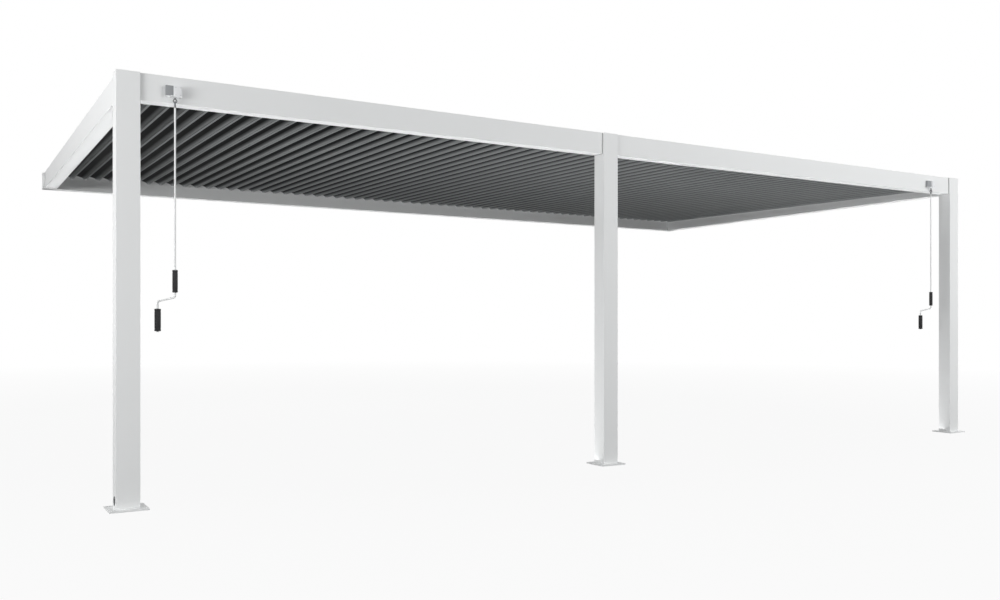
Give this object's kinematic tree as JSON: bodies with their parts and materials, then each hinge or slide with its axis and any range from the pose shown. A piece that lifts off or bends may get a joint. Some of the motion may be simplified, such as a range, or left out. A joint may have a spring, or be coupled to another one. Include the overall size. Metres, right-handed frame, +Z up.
{
  "type": "louvered pergola",
  "caption": "Wall-mounted pergola frame with gutter beams on front posts and a roof of tilting louvers worked by hand cranks.",
  "frame": {"origin": "centre of the wall beam's back face, which bears on the wall", "axes": "+X to the right along the wall, +Y into the wall, +Z up"},
  "size_m": [7.28, 3.99, 2.31],
  "materials": {
    "white_coat": "satin powder coat",
    "louver_coat": "dark grey powder coat",
    "pale_metal": "satin",
    "black_plastic": "matte"
  },
  "bodies": {
    "frame": {"post_left": "white_coat", "post_middle": "white_coat", "post_right": "white_coat", "base_plate_left": "white_coat", "base_plate_middle": "white_coat", "base_plate_right": "white_coat", "post_caps": "white_coat", "front_beam_left": "white_coat", "front_beam_right": "white_coat", "side_beam_left": "white_coat", "side_beam_right": "white_coat", "wall_beam": "white_coat", "wall_beam_end_caps": "white_coat", "louver_rail_front": "white_coat", "louver_rail_wall": "white_coat", "louvers_right": "louver_coat", "gearbox_left": "pale_metal", "gearbox_right": "pale_metal"},
    "louver_01": {"louver_01": "louver_coat"},
    "louver_02": {"louver_02": "louver_coat"},
    "louver_03": {"louver_03": "louver_coat"},
    "louver_04": {"louver_04": "louver_coat"},
    "louver_05": {"louver_05": "louver_coat"},
    "louver_06": {"louver_06": "louver_coat"},
    "louver_07": {"louver_07": "louver_coat"},
    "louver_08": {"louver_08": "louver_coat"},
    "louver_09": {"louver_09": "louver_coat"},
    "louver_10": {"louver_10": "louver_coat"},
    "louver_11": {"louver_11": "louver_coat"},
    "louver_12": {"louver_12": "louver_coat"},
    "louver_13": {"louver_13": "louver_coat"},
    "louver_14": {"louver_14": "louver_coat"},
    "louver_15": {"louver_15": "louver_coat"},
    "louver_16": {"louver_16": "louver_coat"},
    "louver_17": {"louver_17": "louver_coat"},
    "louver_18": {"louver_18": "louver_coat"},
    "louver_19": {"louver_19": "louver_coat"},
    "louver_20": {"louver_20": "louver_coat"},
    "louver_21": {"louver_21": "louver_coat"},
    "louver_22": {"louver_22": "louver_coat"},
    "louver_23": {"louver_23": "louver_coat"},
    "louver_24": {"louver_24": "louver_coat"},
    "louver_25": {"louver_25": "louver_coat"},
    "louver_26": {"louver_26": "louver_coat"},
    "louver_27": {"louver_27": "louver_coat"},
    "louver_28": {"louver_28": "louver_coat"},
    "louver_29": {"louver_29": "louver_coat"},
    "crank_left": {"crank_rod_left": "white_coat"},
    "upper_grip_left": {"upper_grip_left": "black_plastic"},
    "lower_grip_left": {"lower_grip_left": "black_plastic"},
    "crank_right": {"crank_rod_right": "white_coat"},
    "upper_grip_right": {"upper_grip_right": "black_plastic"},
    "lower_grip_right": {"lower_grip_right": "black_plastic"}
  },
  "joints": [
    {"name": "tilt_01", "type": "hinge", "parent": "frame", "child": "louver_01", "pos_m": [-3.4614, -1.968, 0.0249], "axis": [0, -0.9999, -0.0126], "range_deg": [0, 90]},
    {"name": "tilt_02", "type": "hinge", "parent": "frame", "child": "louver_02", "pos_m": [-3.35428, -1.968, 0.0249], "axis": [0, -0.9999, -0.0126], "range_deg": [0, 90]},
    {"name": "tilt_03", "type": "hinge", "parent": "frame", "child": "louver_03", "pos_m": [-3.24715, -1.968, 0.0249], "axis": [0, -0.9999, -0.0126], "range_deg": [0, 90]},
    {"name": "tilt_04", "type": "hinge", "parent": "frame", "child": "louver_04", "pos_m": [-3.14003, -1.968, 0.0249], "axis": [0, -0.9999, -0.0126], "range_deg": [0, 90]},
    {"name": "tilt_05", "type": "hinge", "parent": "frame", "child": "louver_05", "pos_m": [-3.03291, -1.968, 0.0249], "axis": [0, -0.9999, -0.0126], "range_deg": [0, 90]},
    {"name": "tilt_06", "type": "hinge", "parent": "frame", "child": "louver_06", "pos_m": [-2.92578, -1.968, 0.0249], "axis": [0, -0.9999, -0.0126], "range_deg": [0, 90]},
    {"name": "tilt_07", "type": "hinge", "parent": "frame", "child": "louver_07", "pos_m": [-2.81866, -1.968, 0.0249], "axis": [0, -0.9999, -0.0126], "range_deg": [0, 90]},
    {"name": "tilt_08", "type": "hinge", "parent": "frame", "child": "louver_08", "pos_m": [-2.71154, -1.968, 0.0249], "axis": [0, -0.9999, -0.0126], "range_deg": [0, 90]},
    {"name": "tilt_09", "type": "hinge", "parent": "frame", "child": "louver_09", "pos_m": [-2.60442, -1.968, 0.0249], "axis": [0, -0.9999, -0.0126], "range_deg": [0, 90]},
    {"name": "tilt_10", "type": "hinge", "parent": "frame", "child": "louver_10", "pos_m": [-2.49729, -1.968, 0.0249], "axis": [0, -0.9999, -0.0126], "range_deg": [0, 90]},
    {"name": "tilt_11", "type": "hinge", "parent": "frame", "child": "louver_11", "pos_m": [-2.39017, -1.968, 0.0249], "axis": [0, -0.9999, -0.0126], "range_deg": [0, 90]},
    {"name": "tilt_12", "type": "hinge", "parent": "frame", "child": "louver_12", "pos_m": [-2.28305, -1.968, 0.0249], "axis": [0, -0.9999, -0.0126], "range_deg": [0, 90]},
    {"name": "tilt_13", "type": "hinge", "parent": "frame", "child": "louver_13", "pos_m": [-2.17592, -1.968, 0.0249], "axis": [0, -0.9999, -0.0126], "range_deg": [0, 90]},
    {"name": "tilt_14", "type": "hinge", "parent": "frame", "child": "louver_14", "pos_m": [-2.0688, -1.968, 0.0249], "axis": [0, -0.9999, -0.0126], "range_deg": [0, 90]},
    {"name": "tilt_15", "type": "hinge", "parent": "frame", "child": "louver_15", "pos_m": [-1.96168, -1.968, 0.0249], "axis": [0, -0.9999, -0.0126], "range_deg": [0, 90]},
    {"name": "tilt_16", "type": "hinge", "parent": "frame", "child": "louver_16", "pos_m": [-1.85455, -1.968, 0.0249], "axis": [0, -0.9999, -0.0126], "range_deg": [0, 90]},
    {"name": "tilt_17", "type": "hinge", "parent": "frame", "child": "louver_17", "pos_m": [-1.74743, -1.968, 0.0249], "axis": [0, -0.9999, -0.0126], "range_deg": [0, 90]},
    {"name": "tilt_18", "type": "hinge", "parent": "frame", "child": "louver_18", "pos_m": [-1.64031, -1.968, 0.0249], "axis": [0, -0.9999, -0.0126], "range_deg": [0, 90]},
    {"name": "tilt_19", "type": "hinge", "parent": "frame", "child": "louver_19", "pos_m": [-1.53318, -1.968, 0.0249], "axis": [0, -0.9999, -0.0126], "range_deg": [0, 90]},
    {"name": "tilt_20", "type": "hinge", "parent": "frame", "child": "louver_20", "pos_m": [-1.42606, -1.968, 0.0249], "axis": [0, -0.9999, -0.0126], "range_deg": [0, 90]},
    {"name": "tilt_21", "type": "hinge", "parent": "frame", "child": "louver_21", "pos_m": [-1.31894, -1.968, 0.0249], "axis": [0, -0.9999, -0.0126], "range_deg": [0, 90]},
    {"name": "tilt_22", "type": "hinge", "parent": "frame", "child": "louver_22", "pos_m": [-1.21182, -1.968, 0.0249], "axis": [0, -0.9999, -0.0126], "range_deg": [0, 90]},
    {"name": "tilt_23", "type": "hinge", "parent": "frame", "child": "louver_23", "pos_m": [-1.10469, -1.968, 0.0249], "axis": [0, -0.9999, -0.0126], "range_deg": [0, 90]},
    {"name": "tilt_24", "type": "hinge", "parent": "frame", "child": "louver_24", "pos_m": [-0.99757, -1.968, 0.0249], "axis": [0, -0.9999, -0.0126], "range_deg": [0, 90]},
    {"name": "tilt_25", "type": "hinge", "parent": "frame", "child": "louver_25", "pos_m": [-0.89045, -1.968, 0.0249], "axis": [0, -0.9999, -0.0126], "range_deg": [0, 90]},
    {"name": "tilt_26", "type": "hinge", "parent": "frame", "child": "louver_26", "pos_m": [-0.78332, -1.968, 0.0249], "axis": [0, -0.9999, -0.0126], "range_deg": [0, 90]},
    {"name": "tilt_27", "type": "hinge", "parent": "frame", "child": "louver_27", "pos_m": [-0.6762, -1.968, 0.0249], "axis": [0, -0.9999, -0.0126], "range_deg": [0, 90]},
    {"name": "tilt_28", "type": "hinge", "parent": "frame", "child": "louver_28", "pos_m": [-0.56908, -1.968, 0.0249], "axis": [0, -0.9999, -0.0126], "range_deg": [0, 90]},
    {"name": "tilt_29", "type": "hinge", "parent": "frame", "child": "louver_29", "pos_m": [-0.46195, -1.968, 0.0249], "axis": [0, -0.9999, -0.0126], "range_deg": [0, 90]},
    {"name": "crank_turn_left", "type": "hinge", "parent": "frame", "child": "crank_left", "pos_m": [-3.304, -3.954, -1.116], "axis": [0, 0, 1], "continuous": true},
    {"name": "upper_grip_spin_left", "type": "hinge", "parent": "crank_left", "child": "upper_grip_left", "pos_m": [-3.304, -3.954, -1.036], "axis": [0, 0, 1], "continuous": true},
    {"name": "lower_grip_spin_left", "type": "hinge", "parent": "crank_left", "child": "lower_grip_left", "pos_m": [-3.38454, -3.9075, -1.216], "axis": [0, 0, 1], "continuous": true},
    {"name": "crank_turn_right", "type": "hinge", "parent": "frame", "child": "crank_right", "pos_m": [3.198, -3.954, -1.116], "axis": [0, 0, 1], "continuous": true},
    {"name": "upper_grip_spin_right", "type": "hinge", "parent": "crank_right", "child": "upper_grip_right", "pos_m": [3.198, -3.954, -1.036], "axis": [0, 0, 1], "continuous": true},
    {"name": "lower_grip_spin_right", "type": "hinge", "parent": "crank_right", "child": "lower_grip_right", "pos_m": [3.11746, -3.9075, -1.216], "axis": [0, 0, 1], "continuous": true}
  ],
  "couplings": [
    {"joint": "tilt_02", "follows": "tilt_01", "ratio": 1},
    {"joint": "tilt_03", "follows": "tilt_01", "ratio": 1},
    {"joint": "tilt_04", "follows": "tilt_01", "ratio": 1},
    {"joint": "tilt_05", "follows": "tilt_01", "ratio": 1},
    {"joint": "tilt_06", "follows": "tilt_01", "ratio": 1},
    {"joint": "tilt_07", "follows": "tilt_01", "ratio": 1},
    {"joint": "tilt_08", "follows": "tilt_01", "ratio": 1},
    {"joint": "tilt_09", "follows": "tilt_01", "ratio": 1},
    {"joint": "tilt_10", "follows": "tilt_01", "ratio": 1},
    {"joint": "tilt_11", "follows": "tilt_01", "ratio": 1},
    {"joint": "tilt_12", "follows": "tilt_01", "ratio": 1},
    {"joint": "tilt_13", "follows": "tilt_01", "ratio": 1},
    {"joint": "tilt_14", "follows": "tilt_01", "ratio": 1},
    {"joint": "tilt_15", "follows": "tilt_01", "ratio": 1},
    {"joint": "tilt_16", "follows": "tilt_01", "ratio": 1},
    {"joint": "tilt_17", "follows": "tilt_01", "ratio": 1},
    {"joint": "tilt_18", "follows": "tilt_01", "ratio": 1},
    {"joint": "tilt_19", "follows": "tilt_01", "ratio": 1},
    {"joint": "tilt_20", "follows": "tilt_01", "ratio": 1},
    {"joint": "tilt_21", "follows": "tilt_01", "ratio": 1},
    {"joint": "tilt_22", "follows": "tilt_01", "ratio": 1},
    {"joint": "tilt_23", "follows": "tilt_01", "ratio": 1},
    {"joint": "tilt_24", "follows": "tilt_01", "ratio": 1},
    {"joint": "tilt_25", "follows": "tilt_01", "ratio": 1},
    {"joint": "tilt_26", "follows": "tilt_01", "ratio": 1},
    {"joint": "tilt_27", "follows": "tilt_01", "ratio": 1},
    {"joint": "tilt_28", "follows": "tilt_01", "ratio": 1},
    {"joint": "tilt_29", "follows": "tilt_01", "ratio": 1}
  ]
}
